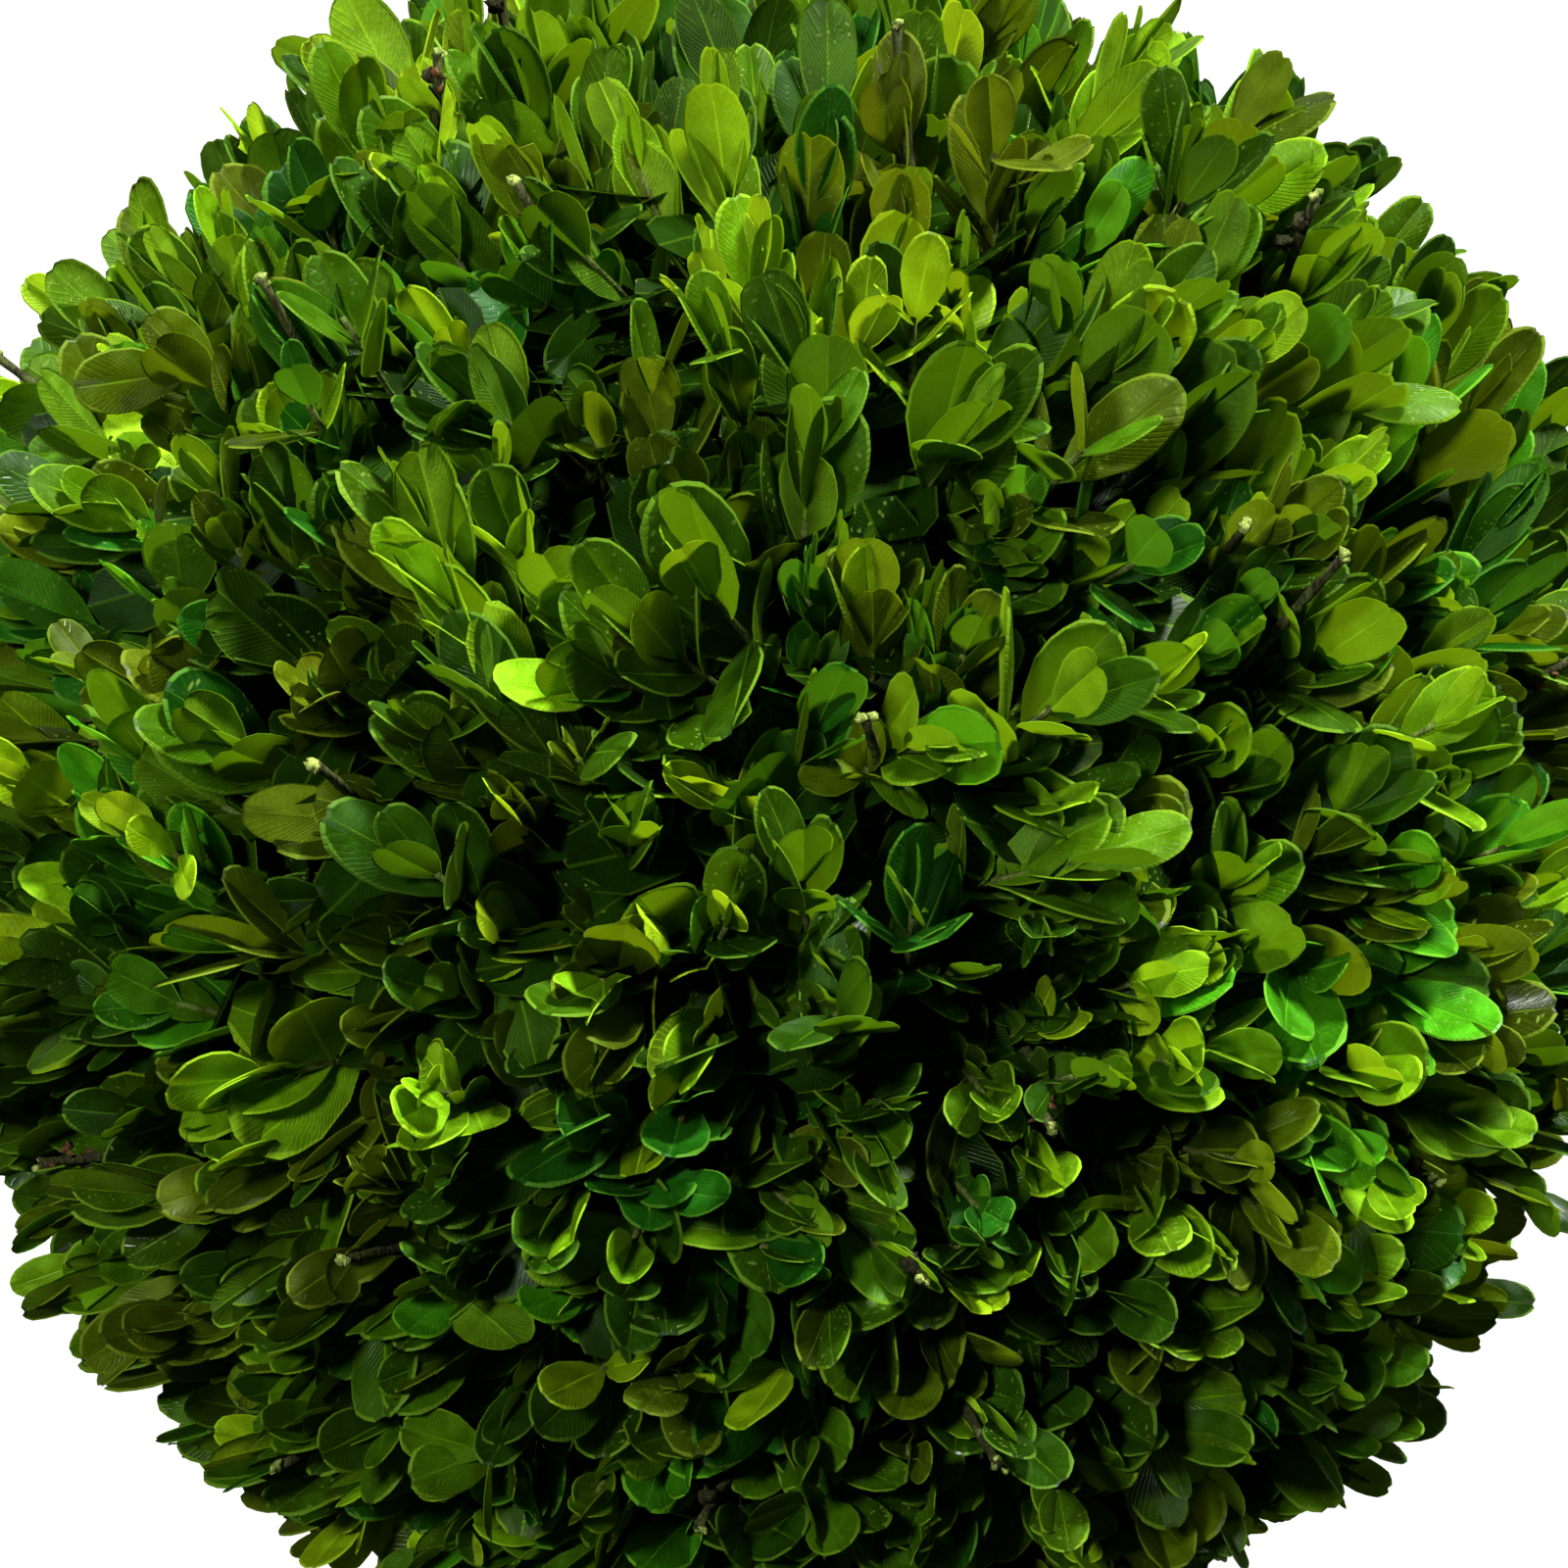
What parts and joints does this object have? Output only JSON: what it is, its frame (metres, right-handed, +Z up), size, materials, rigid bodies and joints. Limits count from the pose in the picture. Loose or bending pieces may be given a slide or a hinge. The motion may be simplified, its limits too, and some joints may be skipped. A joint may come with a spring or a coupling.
{
  "type": "potted box topiary ball",
  "caption": "Clipped boxwood ball on a short trunk in a plain round clay pot: a dense leafy evergreen sphere for a floor, patio or table.",
  "frame": {"origin": "centre of the pot's flat underside, where it stands", "axes": "+Z up through the pot and the trunk's foot; +X to the right and +Y away from the viewer in the picture's view"},
  "size_m": [0.3439, 0.3418, 0.5003],
  "materials": {
    "pot": "matte unglazed terracotta, slightly mottled",
    "soil": "dark crumbly potting mix",
    "bark": "rough grey-brown bark with fine ridges",
    "foliage": "small semi-gloss leaves, deep green to yellow-green, paler underneath"
  },
  "bodies": {
    "root": {"pot": "pot", "soil": "soil", "trunk": "bark", "bough_leader": "bark", "bough_side_1": "bark", "bough_side_2": "bark", "bough_side_3": "bark", "bough_side_4": "bark", "bough_side_5": "bark", "foliage_top": "foliage", "foliage_side_1": "foliage", "foliage_side_2": "foliage", "foliage_side_3": "foliage", "foliage_side_4": "foliage", "foliage_side_5": "foliage", "foliage_bottom": "foliage"}
  },
  "joints": []
}
